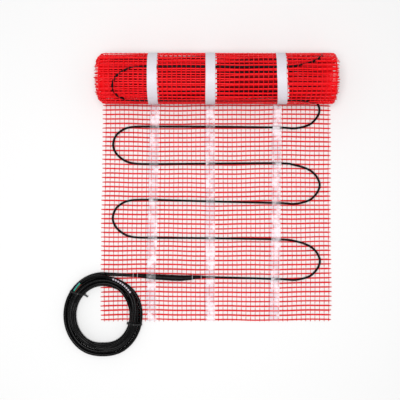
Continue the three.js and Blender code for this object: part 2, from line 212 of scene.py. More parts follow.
def milky_film(name, clear, cloudy):
    """Polyethylene tape over the net: see-through where it is stuck down, milky where it is loose."""
    material, shader = new_material(name, Roughness=0.38, IOR=1.5)
    shader.inputs["Base Color"].default_value = srgb("#faf6fb")
    patches = grain(material, 24, detail=4)
    cloud = add_node(material, "ShaderNodeMapRange", {"Value": patches})
    cloud.inputs["From Min"].default_value = 0.47
    cloud.inputs["From Max"].default_value = 0.64
    cloud.inputs["To Min"].default_value = clear
    cloud.inputs["To Max"].default_value = cloudy
    link(material, cloud.outputs["Result"], shader.inputs["Alpha"])
    relief(material, shader, grain(material, 5, detail=2), 0.12)
    return material


def liner_paper():
    """Siliconised kraft release paper: smooth, bright, with a faint mottle."""
    material, shader = new_material("liner_paper", Roughness=0.5, IOR=1.45)
    two_tones(material, shader, grain(material, 1.2), "#d6d1d9", "#e3dfe6")
    relief(material, shader, grain(material, 6, detail=2), 0.1)
    return material


def extruded_sheath(name, dark, light, low, high):
    """Black PVC sheath, extruded: long faint draw lines and a few dull places."""
    material, shader = new_material(name, IOR=1.5)
    shader.inputs["Specular IOR Level"].default_value = 0.09
    two_tones(material, shader, grain(material, 9), dark, light)
    rough_range(material, shader, grain(material, 4), low, high)
    relief(material, shader, grain(material, 0.7, stretch=(9, 9, 1)), 0.05)
    return material


def shrunk_tube():
    """Polyolefin heat-shrink: satin, with the soft lumps of what it has shrunk onto."""
    material, shader = new_material("shrunk_tube", IOR=1.5)
    shader.inputs["Specular IOR Level"].default_value = 0.1
    two_tones(material, shader, grain(material, 7), "#060607", "#0d0d0f")
    rough_range(material, shader, grain(material, 2.5), 0.32, 0.5)
    relief(material, shader, grain(material, 5, detail=2), 0.4)
    return material


def spun_thread():
    """White polyester thread, twisted, a little fuzzy."""
    material, shader = new_material("spun_thread", Roughness=0.7, IOR=1.5)
    two_tones(material, shader, grain(material, 0.6), "#d9dbe6", "#f4f5fb")
    return material


def moulded_nylon():
    """Black nylon cable tie, injection moulded: semi-gloss with flow marks."""
    material, shader = new_material("moulded_nylon", IOR=1.53)
    shader.inputs["Specular IOR Level"].default_value = 0.3
    two_tones(material, shader, grain(material, 3), "#0a0a0b", "#161618")
    rough_range(material, shader, grain(material, 1.2), 0.28, 0.42)
    return material


def core_insulation(name, dark, light):
    """Extruded PVC insulation on one core of the lead: even in colour, with a soft gloss."""
    material, shader = new_material(name, IOR=1.53)
    two_tones(material, shader, grain(material, 2), dark, light)
    rough_range(material, shader, grain(material, 1), 0.3, 0.42)
    return material


def sheath_ink():
    """White ink marks rolled onto the sheath, worn thin in places."""
    material, shader = new_material("sheath_ink", Roughness=0.6, IOR=1.5)
    two_tones(material, shader, grain(material, 0.7), "#8f8a94", "#cfc8d2", 0.3, 0.6)
    return material


def floor_board():
    """Plain matt white board under the mat."""
    material, shader = new_material("floor_board", Roughness=0.9)
    shader.inputs["Base Color"].default_value = srgb("#f4f4f4")
    shader.inputs["Specular IOR Level"].default_value = 0.1
    return material


yarn = coated_glass_yarn("coated_glass_yarn", "#da0812", "#ea121e")
# Painted light: the outer turns of the roll take the same yarn in a brighter red, for the light on the roll.
wound_yarn_painted_light = coated_glass_yarn("coated_glass_yarn_wound_painted_light", "#fa0814", "#ff1622")
# The inner turns' yarn carries painted shade.
inner_yarn_painted_shade = painted_shade_yarn()
film = milky_film("milky_film", 0.08, 0.5)
wound_film = milky_film("milky_film_wound", 0.7, 0.9)
liner = liner_paper()
heating_sheath = extruded_sheath("heating_sheath", "#050506", "#0b0b0c", 0.4, 0.52)
lead_sheath = extruded_sheath("lead_sheath", "#050506", "#0a0a0b", 0.18, 0.32)
shrink = shrunk_tube()
thread = spun_thread()
nylon = moulded_nylon()
cores = {
    "live": core_insulation("brown_core", "#5a1c14", "#742a1a"),
    "earth": core_insulation("green_core", "#0e9a7c", "#1fb794"),
    "neutral": core_insulation("blue_core", "#0e2250", "#152f68"),
}
ink = sheath_ink()


class Skin:
    """Points and faces gathered from several sweeps, in millimetres, for one piece."""

    def __init__(self):
        self.points = []
        self.faces = []
        self.count = 0

    def sweep(self, path, ups, section, scale=None):
        """Carry a section of (side, up) points along a path; scale widens it at each step."""
        path = np.asarray(path, float)
        ups = np.broadcast_to(np.asarray(ups, float), path.shape)
        ahead = np.gradient(path, axis=0)
        ahead /= np.linalg.norm(ahead, axis=1)[:, None]
        side = np.cross(ahead, ups)
        side /= np.linalg.norm(side, axis=1)[:, None]
        over = np.cross(side, ahead)
        section = np.asarray(section, float)
        across = np.broadcast_to(section[None], (len(path), *section.shape))
        if scale is not None:
            across = across * np.asarray(scale, float)[:, None, :]
        rings = path[:, None] + side[:, None] * across[..., :1] + over[:, None] * across[..., 1:]
        steps, corners = rings.shape[:2]
        ring = self.count + np.arange(steps - 1)[:, None] * corners
        here = np.arange(corners)[None]
        after = (here + 1) % corners
        quads = np.stack([ring + here, ring + after, ring + after + corners, ring + here + corners], -1)
        self.faces.extend(quads.reshape(-1, 4).tolist())
        self.faces.append([self.count + k for k in range(corners)][::-1])
        last = self.count + (steps - 1) * corners
        self.faces.append([last + k for k in range(corners)])
        self.points.append(rings.reshape(-1, 3))
        self.count += steps * corners

    def piece(self, name, material, slot, smooth=True):
        """Make the piece of what was gathered."""
        mesh = bpy.data.meshes.new(name)
        points = np.concatenate(self.points) * MM
        mesh.from_pydata(points.tolist(), [], self.faces)
        mesh.polygons.foreach_set("use_smooth", [smooth] * len(mesh.polygons))
        mesh.update()
        return placed(name, mesh, material)


def placed(name, mesh, material):
    """A piece of the object: it rides with the mat and takes the material it is given."""
    piece = bpy.data.objects.new(name, mesh)
    bpy.context.collection.objects.link(piece)
    mesh.materials.append(material)
    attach(piece, "root")
    return piece


def round_section(diameter, sides):
    """The section of a cable: a circle of so many corners."""
    angles = [(k + 0.5) / sides * FULL_CIRCLE for k in range(sides)]
    return [(diameter / 2 * math.cos(a), diameter / 2 * math.sin(a)) for a in angles]


def yarn_section(width, thick):
    """A flattened roving: six corners."""
    half, third, up = width / 2, width / 3, thick / 2
    return [(half, 0), (third, up), (-third, up), (-half, 0), (-third, -up), (third, -up)]


def smooth_step(low, high, value):
    """Rises softly from 0 at low to 1 at high."""
    t = np.clip((np.asarray(value, float) - low) / (high - low), 0, 1)
    return t * t * (3 - 2 * t)


def smooth_curve(points, spacing):
    """Points about spacing apart on a smooth curve through the given points."""
    points = np.asarray(points, float)
    padded = np.vstack([2 * points[0] - points[1], points, 2 * points[-1] - points[-2]])
    curve = []
    for a, b, c, d in zip(padded, padded[1:], padded[2:], padded[3:]):
        steps = max(2, round(np.linalg.norm(c - b) / spacing))
        bend = 2 * a - 5 * b + 4 * c - d
        twist = 3 * b - a - 3 * c + d
        for t in np.arange(steps) / steps:
            curve.append(0.5 * (2 * b + (c - a) * t + bend * t**2 + twist * t**3))
    curve.append(points[-1])
    return np.array(curve)


# The cold lead: from the splice onto its coil, round four turns below and two and a bit on top.
LEAD_DIAMETER = 7
REST_LEVEL = 2.1
SPLICE_START = -171
SPLICE_Y = FREE_END + FIRST_RUN
LEAD_TAIL = [
    (SPLICE_START - 0.3, SPLICE_Y + 4),
    (SPLICE_START - 13, SPLICE_Y + 4.3),
    (SPLICE_START - 26, SPLICE_Y + 4.9),
]
TURN = 360
ON_AT = 84
LAST_TURN = 6
LEAD_STOP = 127.6
LEAD_STEP = 3
LEVELLED_OVER = 5

# The coil is a little longer along the mat than across it, and nearly straight on one side.
COIL_X = -244.2
COIL_Y = FREE_END + 13.4
COIL_RADIUS = 71.2
COIL_OVAL = 1.084
FLAT_SIDE_AT = 270
FLAT_SIDE_WIDE = 24
FLAT_SIDE_BY = 3

# Each step to another strand's place: on which turn, from and to which angle, and by how many places.
STRAND_PITCH = 7.03
FIRST_PLACE = 1.5
PLACE_STEPS = [
    (1, 15, 75, -1),
    (2, 15, 75, -1),
    (3, 15, 75, -1),
    (4, 15, 75, 0.5),
    (5, -8, 32, 0.7),
    (6, -8, 32, 0.9),
    (6, 80, 120, 0.4),
]
CROSSING_AT = 5 * TURN + 235
CROSSING_WIDE = 38
CROSSING_BY = 0.9

# The strands lie tight below and looser on top: how far they wander, and in which slow waves.
TOP_FROM = 4 * TURN
TOP_SETTLES_OVER = 150
LOOSE_BELOW = 0.15
LOOSER_ON_TOP = 1.4
STRAND_WAVES = [(0.7, 0.83, 1), (0.5, 1.71, 2)]


def on_coil(out, degrees, z):
    """A point of the coil at an angle, so far out from its middle line, and at height z."""
    angle = np.radians(degrees)
    from_flat = np.asarray(degrees) % TURN - FLAT_SIDE_AT
    radius = COIL_RADIUS + out - FLAT_SIDE_BY * np.exp(-((from_flat / FLAT_SIDE_WIDE) ** 2))
    x = COIL_X + radius * np.cos(angle)
    y = COIL_Y + radius * COIL_OVAL * np.sin(angle)
    return np.stack([x, y, z + 0 * angle], -1)


def planned_out(degrees):
    """How far out from the middle of the strands the lead lies: four turns stepping in, then two and
    a bit on top, stepping out, one of which crosses over its neighbour."""
    place = FIRST_PLACE
    for turn, start, stop, places in PLACE_STEPS:
        place = place + places * smooth_step(start, stop, degrees - turn * TURN)
    place = place - CROSSING_BY * np.exp(-(((degrees - CROSSING_AT) / CROSSING_WIDE) ** 2))
    loose = LOOSE_BELOW + LOOSER_ON_TOP * smooth_step(TOP_FROM, TOP_FROM + TOP_SETTLES_OVER, degrees)
    radians = np.radians(degrees)
    wander = loose * sum(height * np.sin(rate * radians + shift) for height, rate, shift in STRAND_WAVES)
    return place * STRAND_PITCH + wander


def lead_route():
    """The strand on its coil: its angles, counted on from turn to turn, how far out it lies, and how
    high, each stretch resting on the turns under it."""
    degrees = np.arange(ON_AT, LAST_TURN * TURN + LEAD_STOP, LEAD_STEP)
    outs = planned_out(degrees)
    heights = np.zeros(len(degrees))
    steps_round = TURN // LEAD_STEP
    for k in range(steps_round, len(degrees)):
        for below in range(k % steps_round, k, steps_round):
            beside = abs(outs[k] - outs[below])
            if beside < STRAND_PITCH:
                heights[k] = max(heights[k], heights[below] + math.sqrt(STRAND_PITCH**2 - beside**2))
    padded = np.pad(heights, LEVELLED_OVER // 2, mode="edge")
    heights = sum(padded[k : k + len(heights)] for k in range(LEVELLED_OVER)) / LEVELLED_OVER
    return degrees, outs, REST_LEVEL + LEAD_DIAMETER / 2 + heights


lead_degrees, lead_outs, lead_levels = lead_route()


def cold_lead():
    """The whole lead as one cord, and the line it follows."""
    level = REST_LEVEL + LEAD_DIAMETER / 2
    tail = [(x, y, level) for x, y in LEAD_TAIL]
    route = smooth_curve(np.vstack([tail, on_coil(lead_outs, lead_degrees, lead_levels)]), 4)
    skin = Skin()
    skin.sweep(route, (0, 0, 1), round_section(LEAD_DIAMETER, 16))
    lead = skin.piece("cold_lead", lead_sheath, "lead")
    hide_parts("lead_tail", "lead_coil", "lead_end")
    return lead, route


lead, lead_line = cold_lead()


# The winding: how far round the roll, and at what radius, each length of the mat lies.
LET_IN_FROM = 0.7
WINDING_POINTS = 3001
TAPER_SETS_IN_OVER = 40
LEFT_TAPER_FROM = 235
LEFT_TAPER_TO = 256
LEFT_TAPER = 0.5
RIGHT_TAPER_FROM = 238
RIGHT_TAPER_TO = 258
RIGHT_TAPER = 0.2
turn_angles = np.linspace(0, ROLL_TURNS * FULL_CIRCLE, WINDING_POINTS)


def winding_radius(angle):
    """Radius of the net's underside. It drops by one thickness just before each turn closes."""
    turns = np.asarray(angle) / FULL_CIRCLE
    whole = np.floor(turns)
    return ROLL_RADIUS - TURN_THICK * (whole + smooth_step(LET_IN_FROM, 1, turns - whole))


step_radii = (winding_radius(turn_angles[1:]) + winding_radius(turn_angles[:-1])) / 2
turn_lengths = np.concatenate([[0], np.cumsum(np.diff(turn_angles) * step_radii)])
WOUND_LENGTH = float(turn_lengths[-1])


def wound_in(turns):
    """The length of mat wound in so many turns from the outside."""
    return float(np.interp(turns * FULL_CIRCLE, turn_angles, turn_lengths))


def laid(x, along, lift):
    """A point of the mat in space, and its outward direction: x across, along past the roll's axis
    (less than 0 is flat), and lift above the net's underside."""
    x, along, lift = np.broadcast_arrays(*(np.asarray(given, float) for given in (x, along, lift)))
    angle = np.interp(along, turn_lengths, turn_angles, left=0)
    radius = winding_radius(angle) - lift
    taper = LEFT_TAPER * smooth_step(LEFT_TAPER_FROM, LEFT_TAPER_TO, -x)
    taper = taper + RIGHT_TAPER * smooth_step(RIGHT_TAPER_FROM, RIGHT_TAPER_TO, x)
    taper = taper * smooth_step(0, TAPER_SETS_IN_OVER, along)
    radius = radius - taper * (radius - BORE_RADIUS)
    flat = along < 0
    y = np.where(flat, ROLL_Y + along, ROLL_Y + radius * np.sin(angle))
    z = np.where(flat, NET_UNDERSIDE + lift, ROLL_Z - radius * np.cos(angle))
    up_y = np.where(flat, 0, -np.sin(angle))
    up_z = np.where(flat, 1, np.cos(angle))
    return np.stack([x, y, z], -1), np.stack([0 * x, up_y, up_z], -1)


# How the yarns have slipped: each wave's height, its reach across and along the mat, and its start.
WEFT_WAVES = [(0.9, 71, 190, 0), (0.5, 29, -83, 1.3), (0.2, 13, 37, 0)]
WARP_WAVES = [(0.4, 97, 61, 0), (0.2, 31, 23, 0)]
WOUND_SLIPS = [(165, 210, 2), (20, 100, -3)]
DRIFT = 3.4
DRIFT_WITHIN = 150
DRIFT_EASES_FROM = 330
DRIFT_GONE_AT = 640


def waves(table, x, along):
    """Long soft waves over the mat, added up."""
    return sum(height * np.sin(x / across + along / ahead + start) for height, across, ahead, start in table)


def sway(x, along):
    """How far the weft at a place has slipped along the mat."""
    return waves(WEFT_WAVES, x, along)


def wound_slip(along):
    """How far the wefts on the roll have slipped along the mat as it was wound."""
    return sum(by * smooth_step(start, stop, along) for start, stop, by in WOUND_SLIPS)


def drift(x, along):
    """The left half of the mat runs inward towards the roll, and out again inside it."""
    eased = smooth_step(DRIFT_EASES_FROM, DRIFT_GONE_AT, along)
    build_up = smooth_step(-FLAT_LENGTH, 0, along) * (1 - eased)
    return DRIFT * build_up * smooth_step(0, DRIFT_WITHIN, -np.asarray(x, float))


def lean(x, along):
    """How far the warp at a place has slipped across the mat."""
    return waves(WARP_WAVES, x, along) + drift(x, along)


# The wefts: each is a flat roving, nipped where a pair of warps holds it. On the roll it hangs slack.
WEFT_WIDTH = 3.25
WEFT_BODY = 0.6
WOUND_WEFT_WIDTH = 3.15
WOUND_WEFT_BODY = 1.6
WEFT_WIDTHS_VARY = (0.88, 1.1)
NIPPED = 0.84
FULL = 1.06
AT_TIP = 0.5
RIGHT_TRIM = 2
WOUND_RIGHT_TRIM = 4.5
FRINGE_SPREAD = 0.8
WOUND_FRINGE_SPREAD = 2.2
SPLAY = 0.7
SLACK_IN = 0.9
SLACK_OUT = -3.1
LEAST_SLACK = 0.3
SLACK_WAVE = 47
NET_MIDDLE = NET_THICK / 2

# The warps: two thin strands each, twisted once between wefts, and prouder where the net is wound.
WARP_STRAND = 0.82
WOUND_WARP_STRAND = 1.25
WARP_THICK = 0.5
TWIST_REACH = 0.55
STRAND_LIFT = 0.35
STRAND_RISE = 0.2
WOUND_PROUD = 0.35
TAILS_VARY = (-1.2, 1)

# The outer two turns show, so they are drawn in full. The turns under them are drawn simply.
ROLL_FROM = -10
WEFTS_FLAT = int((FLAT_LENGTH - WARP_TAIL) / WEFT_PITCH) + 1
WEFTS_IN_ALL = int((FLAT_LENGTH + WOUND_LENGTH - WARP_TAIL) / WEFT_PITCH) - 1
OUTERMOST_TO = wound_in(1)
DETAILED_TO = wound_in(2)


def warp_x(i):
    """The line of a warp, counted from the left."""
    return (i - (WARP_COUNT - 1) / 2) * WARP_PITCH


def weft_along(j):
    """The line of a weft, counted from the free end."""
    return -FLAT_LENGTH + WARP_TAIL + j * WEFT_PITCH


def lay_weft(skin, j, per_pitch, corners):
    """One weft across the mat, with its cut ends standing out past the outer warps."""
    along = weft_along(j)
    wound = along > ROLL_FROM
    outermost = wound and along < OUTERMOST_TO
    spread = WOUND_FRINGE_SPREAD if wound else FRINGE_SPREAD
    trim = WOUND_RIGHT_TRIM if outermost else RIGHT_TRIM
    left = -SIDE + random.uniform(-1, 1) * spread
    right = SIDE - trim + random.uniform(-1, 1) * spread
    inner = np.linspace(warp_x(0), warp_x(WARP_COUNT - 1), (WARP_COUNT - 1) * per_pitch + 1)
    x = np.concatenate([[left], inner, [right]])
    width = np.where(np.arange(len(inner)) % per_pitch == 0, NIPPED, FULL)
    width = np.concatenate([[AT_TIP], width, [AT_TIP]])
    places = along + sway(x, along) + wound_slip(along)
    splay = np.zeros(len(x))
    splay[0] = random.uniform(-SPLAY, SPLAY) * spread
    splay[-1] = random.uniform(-SPLAY, SPLAY) * spread
    slack = 0 if not wound else SLACK_IN if outermost else SLACK_OUT
    share = random.uniform(LEAST_SLACK, 1)
    bow = slack * share * (0.5 + 0.5 * np.sin(x / SLACK_WAVE + random.uniform(0, 6)))
    path, ups = laid(x + lean(x, places), places + splay, NET_MIDDLE + bow)
    full_width, body = (WOUND_WEFT_WIDTH, WOUND_WEFT_BODY) if wound else (WEFT_WIDTH, WEFT_BODY)
    section = yarn_section(full_width * random.uniform(*WEFT_WIDTHS_VARY), body)
    if corners == 4:
        section = [section[k] for k in (0, 1, 3, 4)]
    skin.sweep(path, ups, section, np.stack([width, np.ones(len(width))], -1))


def lay_warp(skin, i, start, stop, strands, step, width=WARP_STRAND):
    """One warp from start to stop along the mat: a strand that passes over the wefts, or that and its
    fellow that passes under them."""
    count = max(2, round((stop - start) / step) + 1)
    along = np.linspace(start, stop, count)
    phase = (along - weft_along(0)) / WEFT_PITCH * math.pi
    proud = WOUND_PROUD if stop > 0 else 0
    section = yarn_section(width, WARP_THICK)
    for strand in strands:
        cross = TWIST_REACH * width * strand * np.cos(phase)
        over = strand * (STRAND_LIFT + proud + STRAND_RISE * np.abs(np.cos(phase)))
        x = warp_x(i) + lean(warp_x(i), along) + cross
        path, ups = laid(x, along, NET_MIDDLE + over)
        skin.sweep(path, ups, section[:2] + section[3:5])


def flat_net():
    """The net from its free end to the roll, its warps running a little past the first weft."""
    wefts = Skin()
    for j in range(WEFTS_FLAT):
        lay_weft(wefts, j, 2, 6)
    piece = wefts.piece("net_wefts", yarn, "net")
    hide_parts(*(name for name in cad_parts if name.startswith("net_panel")))
    warps = Skin()
    for i in range(WARP_COUNT):
        tail = random.uniform(*TAILS_VARY)
        lay_warp(warps, i, -FLAT_LENGTH + tail, 0, (1, -1), WEFT_PITCH / 2)
    warps.piece("net_warps", yarn, "net")


def wound_net():
    """The net in the roll: the outer turns with both strands of each warp, the inner ones with one."""
    outer = Skin()
    inner = Skin()
    for j in range(WEFTS_FLAT, WEFTS_IN_ALL):
        if weft_along(j) < DETAILED_TO:
            lay_weft(outer, j, 2, 6)
        else:
            lay_weft(inner, j, 1, 4)
    for i in range(WARP_COUNT):
        lay_warp(outer, i, 0, DETAILED_TO, (1, -1), WEFT_PITCH / 2, WOUND_WARP_STRAND)
        lay_warp(inner, i, DETAILED_TO, WOUND_LENGTH - WEFT_PITCH, (1,), WEFT_PITCH)
    # The outer turns take the brighter yarn, with painted light.
    piece = outer.piece("wound_net_outer", wound_yarn_painted_light, "net")
    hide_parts("mat_roll")
    # The inner turns take the yarn with painted shade.
    inner.piece("wound_net_inner", inner_yarn_painted_shade, "net")


flat_net()
wound_net()

# The heating cable, laid to and fro: how far each run wanders from its line at each strip.
RUN_WANDER = [
    {"left": 0, "middle": 0, "right": -4},
    {"left": 3.5, "middle": 2.5, "right": 0},
    {"left": 3.8, "middle": 0.5, "right": -3},
    {"left": -0.2, "middle": 0.7, "right": 1.5},
    {"left": -0.5, "middle": -0.8, "right": -2.5},
    {"left": 0, "middle": 0, "right": 0},
    {"left": -3, "middle": 1, "right": 2},
    {"left": 0, "middle": 0, "right": 0},
    {"left": -0.8, "middle": -0.8, "right": -0.8},
]

# A turn of the cable: how far in from the mat's edge, and at what share of the way to the next run.
LEFT_TURN = [
    (82, 0.005), (65, 0.03), (52, 0.085), (38, 0.21), (29.2, 0.35), (26, 0.5),
    (27.8, 0.65), (34.6, 0.8), (49, 0.93), (64, 0.985), (82, 1),
]
RIGHT_TURN = [
    (80, -0.02), (51, 0.06), (37, 0.19), (29, 0.33), (26.7, 0.44), (28.5, 0.56),
    (37, 0.72), (52, 0.85), (80, 0.955),
]
WOUND_INSET = 8
WOUND_INSET_WITHIN = 100
SPLICE_LENGTH = 143.5
SPLICE_GAP = 0.3
CABLE_STEP = 4

# The cable sinks closer to the net as the mat is wound, and closest where it shows on the roll.
CABLE_WOUND_LIE = 3.0
CABLE_NESTED_LIE = 1.9
SETTLES = (-45, 0)
NESTS = (95, 130)
RISES = (245, 290)
FLAT_DRIFT = 0.25


def run_place(k, strip):
    """How far along the mat a run of the cable crosses a strip."""
    return -FLAT_LENGTH + FIRST_RUN + k * RUN_PITCH + RUN_WANDER[k % len(RUN_WANDER)][strip]


def cable_route():
    """The cable's line, as places across and along the mat, over the flat part and on through the roll."""
    points = [(SPLICE_START + SPLICE_LENGTH + SPLICE_GAP, -FLAT_LENGTH + FIRST_RUN)]
    last_run = int((FLAT_LENGTH + WOUND_LENGTH - FIRST_RUN) / RUN_PITCH) - 1
    for k in range(last_run):
        to_right = k % 2 == 0
        strips = ["middle", "right"] if k == 0 else ["left", "middle", "right"]
        order = strips if to_right else strips[::-1]
        points += [(STRIP_CENTRES[s], run_place(k, s)) for s in order]
        start = run_place(k, order[-1])
        end = run_place(k + 1, order[-1])
        turn = RIGHT_TURN if to_right else LEFT_TURN
        edge = SIDE - WOUND_INSET * float(smooth_step(0, WOUND_INSET_WITHIN, start))
        side = 1 if to_right else -1
        points += [(side * (edge - inset), start + share * (end - start)) for inset, share in turn]
    return smooth_curve(np.array(points), CABLE_STEP)


def heating_cable():
    """The cable itself, laid on top of the net."""
    x, along = cable_route().T
    settled = smooth_step(*SETTLES, along)
    nested = smooth_step(*NESTS, along) * (1 - smooth_step(*RISES, along))
    lift = CABLE_LIE + (CABLE_WOUND_LIE - CABLE_LIE) * settled
    lift = lift + (CABLE_NESTED_LIE - CABLE_WOUND_LIE) * nested
    slip = drift(x, along) * (FLAT_DRIFT + (1 - FLAT_DRIFT) * settled)
    path, ups = laid(x + slip, along, lift)
    skin = Skin()
    skin.sweep(path, ups, round_section(CABLE_DIAMETER, 10))
    cable = skin.piece("heating_cable_laid", heating_sheath, "heating_cable")
    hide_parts("heating_cable")


heating_cable()

# The splice sleeve: distance from its left end, radius, and how far it lies off the cable's line.
SPLICE_STATIONS = [
    (0, 3.9, 4),
    (8, 4.2, 3.4),
    (20, 5, 2.4),
    (36, 5.7, 1),
    (50, 6, 0.4),
    (76, 6.3, -1),
    (92, 6.2, -1.6),
    (106, 5.6, -1.3),
    (118, 4.9, -0.5),
    (126, 3.9, 0.2),
    (138, 3.2, 0.5),
    (143.5, 2.9, 0.3),
]
LEAD_STATIONS = [(-13, LEAD_DIAMETER / 2, 4.3), (-0.3, LEAD_DIAMETER / 2, 4)]
SLEEVE_RINGS = 96
SLEEVE_LUMPS = [(0.02, 2.9, 0), (0.015, 1.3, 1)]
LIP_LONG = 0.8
LIP_SHARE = 0.82

# The threads that tie it down: each goes over it and down through the net on both sides.
THREAD_STATIONS = [-8.4, 0.8, 119, 138]
THREAD_DIAMETER = 0.7
THREAD_LIE = 0.55
THREAD_SHIFT = 0.4
THREAD_SKEW = 0.3
THREAD_FOOT_OUT = 1.5
THREAD_FOOT_DOWN = 0.1
THREAD_PAST_HALF = 0.12


def ripple(table, place):
    """Waves along a line, added up: the height of each, its reach, and where it starts."""
    return sum(height * np.sin(place / reach + start) for height, reach, start in table)


def splice_at(distance):
    """Where the axis of the sleeve, or of the lead before it, lies and how thick it is."""
    places, radii, offsets = zip(*LEAD_STATIONS, *SPLICE_STATIONS)
    radius = np.interp(distance, places, radii)
    y = SPLICE_Y + np.interp(distance, places, offsets)
    return radius, y, REST_LEVEL + radius


def splice_sleeve():
    """The shrunk tube, lumpy over the joint inside and drawn in at its lips."""
    distance = np.linspace(0, SPLICE_LENGTH, SLEEVE_RINGS)
    radius, y, z = splice_at(distance)
    from_end = np.minimum(distance, SPLICE_LENGTH - distance)
    lip = np.where(from_end < LIP_LONG, LIP_SHARE, 1)
    path = np.stack([SPLICE_START + distance, y, z], -1)
    size = (radius * (1 + ripple(SLEEVE_LUMPS, distance)) * lip)[:, None] * [1, 1]
    skin = Skin()
    skin.sweep(path, (0, 0, 1), round_section(2, 20), size)
    piece = skin.piece("splice_tube", shrink, "sleeve")
    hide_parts("splice_sleeve")


def splice_threads():
    """The fine threads round the lead and the splice."""
    for n, place in enumerate(THREAD_STATIONS):
        radius, y, z = splice_at(place)
        loop = radius + THREAD_LIE
        x = SPLICE_START + place + THREAD_SHIFT
        foot = REST_LEVEL - THREAD_FOOT_DOWN
        line = [(x, y + loop + THREAD_FOOT_OUT, foot)]
        for a in np.linspace(-THREAD_PAST_HALF, math.pi + THREAD_PAST_HALF, 22):
            aside = THREAD_SKEW * math.sin(3 * a)
            line.append((x + aside, y + loop * math.cos(a), z + loop * math.sin(a)))
        line.append((x, y - loop - THREAD_FOOT_OUT, foot))
        skin = Skin()
        skin.sweep(smooth_curve(line, 1), (1, 0, 0), round_section(THREAD_DIAMETER, 6))
        piece = skin.piece(f"tie_thread_{n + 1}", thread, "thread")
        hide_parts(f"splice_thread_{n + 1}")


splice_sleeve()
splice_threads()

# The strips, film above and liner below: how far along the mat, and where the middle lies there.
STRIP_LINES = {
    "left": [(-514, -138.5), (-415, -140.2), (-275, -136.6), (-59, -133.1), (60, -130.4)],
    "middle": [(-514, -12.7), (-100, -12.7), (60, -11.8)],
    "right": [
        (-514, 125.4), (-394, 128.4), (-178, 130.3), (-48, 132.7),
        (60, 133.8), (166, 132.1), (240, 138),
    ],
}
STRIP_COLUMNS = 13
STRIP_ROW = 1.1
EDGE_WAVES = [(1, 31, 0), (0.5, 11, 2)]
FILM_RAGGED = 0.35
FILM_THICK = 0.12
WOUND_FILM_ASIDE = 1
LINER_RAGGED = 0.2
LINER_THICK = 0.25
LINER_LIE = -0.55

# The film sags from the yarns into the cells, and humps over cable and splice.
FILM_TOP = 1.75
FILM_SAG = 0.75
LOWER_ON_WARPS = 0.1
SAGS_FROM_WEFT = (0.8, 3.6)
SAGS_FROM_WARP = (0.4, 3.0)
FILM_TURNS = 1.06
RUNS_UNDER_FILM = 9
OVER_CABLE = {"clear": 0.25, "crown": 0.6, "fall": 0.5, "power": 1.55}
OVER_SPLICE = {"clear": 0.35, "crown": 1.4, "fall": 0.13, "power": 2.0}


def from_yarn(place, first, pitch):
    """How far a place is from the nearest of a row of yarns."""
    return np.abs(((place - first) / pitch + 0.5) % 1 - 0.5) * pitch


def film_height(x, along):
    """Height of the film over the net's underside, where it dips between the yarns."""
    past_weft = smooth_step(*SAGS_FROM_WEFT, from_yarn(along - sway(x, along), weft_along(0), WEFT_PITCH))
    past_warp = smooth_step(*SAGS_FROM_WARP, from_yarn(x - lean(x, along), warp_x(0), WARP_PITCH))
    over_weft = FILM_TOP - FILM_SAG * past_weft
    over_warp = FILM_TOP - FILM_SAG * past_warp - LOWER_ON_WARPS
    return np.maximum(over_weft, over_warp)


def hump(top, beside, shape):
    """Height of the film at a distance beside the middle of a cable: it clears the cable's top, is level
    over the crown, and falls by a power of the distance past that."""
    return top + shape["clear"] - shape["fall"] * max(beside - shape["crown"], 0) ** shape["power"]


def over_all(x, along):
    """Height of the film over yarns, cable and splice."""
    height = float(film_height(x, along))
    for k in range(RUNS_UNDER_FILM):
        for strip, centre in STRIP_CENTRES.items():
            crosses = k > 0 or strip != "left"
            if crosses and abs(x - centre) <= STRIP_WIDTH:
                beside = abs(along - run_place(k, strip))
                height = max(height, hump(CABLE_LIE + CABLE_DIAMETER / 2, beside, OVER_CABLE))
    distance = x - SPLICE_START
    if 0 < distance < SPLICE_LENGTH:
        radius, y, z = splice_at(distance)
        beside = abs(along - (y - ROLL_Y))
        height = max(height, hump(float(z + radius - NET_UNDERSIDE), beside, OVER_SPLICE))
    return height


def under_net(x, along):
    """Height of the liner, which is level."""
    return LINER_LIE


def strip_line(strip, along):
    """The middle of a strip: it wanders a little from the free end to its place on the roll."""
    places, middles = zip(*STRIP_LINES[strip])
    return np.interp(along, places, middles)


def strip_sheet(name, strip, aside, reach, heights, thick, ragged, material, slot):
    """A thin sheet along the mat from one place to another, its height given by heights(x, along)."""
    start, stop = reach
    half = STRIP_WIDTH / 2
    columns = np.linspace(-half, half, STRIP_COLUMNS)
    rows = np.linspace(start, stop, int((stop - start) / STRIP_ROW))
    edge = ragged * ripple(EDGE_WAVES, rows)
    middle = strip_line(strip, rows) + aside
    x = middle[:, None] + columns[None, :] + edge[:, None] * (columns / half)[None, :]
    along = np.broadcast_to(rows[:, None], x.shape)
    lift = np.vectorize(heights)(x, along)
    under, _ = laid(x, along, lift)
    over, _ = laid(x, along, lift + thick)
    count = x.size
    grid = np.arange(count).reshape(x.shape)
    quads = np.stack([grid[:-1, :-1], grid[:-1, 1:], grid[1:, 1:], grid[1:, :-1]], -1).reshape(-1, 4)
    border = np.concatenate([grid[0, :], grid[1:, -1], grid[-1, -2::-1], grid[-2:0:-1, 0]])
    after = np.roll(border, -1)
    rim = np.stack([border, border + count, after + count, after], -1)
    skin = Skin()
    skin.points = [np.concatenate([under.reshape(-1, 3), over.reshape(-1, 3)])]
    skin.faces = quads[:, ::-1].tolist() + (quads + count).tolist() + rim[:, ::-1].tolist()
    return skin.piece(name, material, slot)


